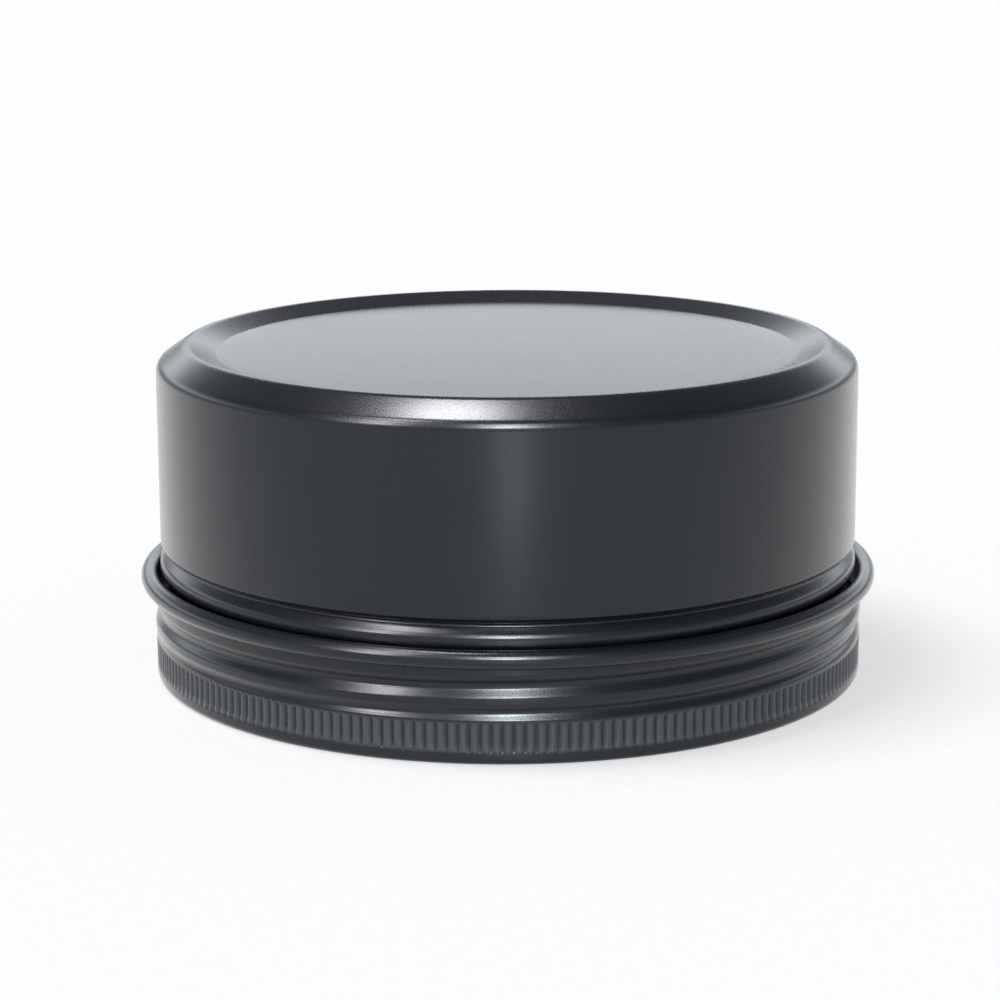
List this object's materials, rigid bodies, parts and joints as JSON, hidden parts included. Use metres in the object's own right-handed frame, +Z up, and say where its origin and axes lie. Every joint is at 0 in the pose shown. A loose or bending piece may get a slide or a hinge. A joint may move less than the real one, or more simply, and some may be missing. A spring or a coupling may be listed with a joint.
{
  "type": "candle tin",
  "caption": "Low round screw-top candle tin in black-coated aluminium, standing base up on its knurled lid, with a rolled thread and a foam liner in the lid.",
  "frame": {"origin": "centre of the lid's flat outer face, which is the lowest point of the tin as it stands upside down on its lid", "axes": "+Z up along the tin's axis, from the lid's outer face towards the tin's base; -Y is the side facing the viewer and +X is to the viewer's right, and both only fix where the thread starts"},
  "size_m": [0.0878, 0.0878, 0.0395],
  "materials": {
    "tin_coat": "satin",
    "lid_coat": "satin",
    "liner_foam": "matte"
  },
  "bodies": {
    "lid": {"lid_shell": "lid_coat"},
    "liner": {"lid_liner": "liner_foam"},
    "tin": {"tin_body": "tin_coat"}
  },
  "joints": [
    {"name": "unscrew", "type": "hinge", "parent": "lid", "child": "liner", "pos_m": [0, 0, 0], "axis": [0, 0, 1], "range_deg": [0, 1440]},
    {"name": "lift", "type": "slide", "parent": "liner", "child": "tin", "axis": [0, 0, 1], "range_m": [0, 0.0127]}
  ],
  "couplings": [
    {"joint": "lift", "follows": "unscrew", "m_per_rad": 0.00050532}
  ]
}
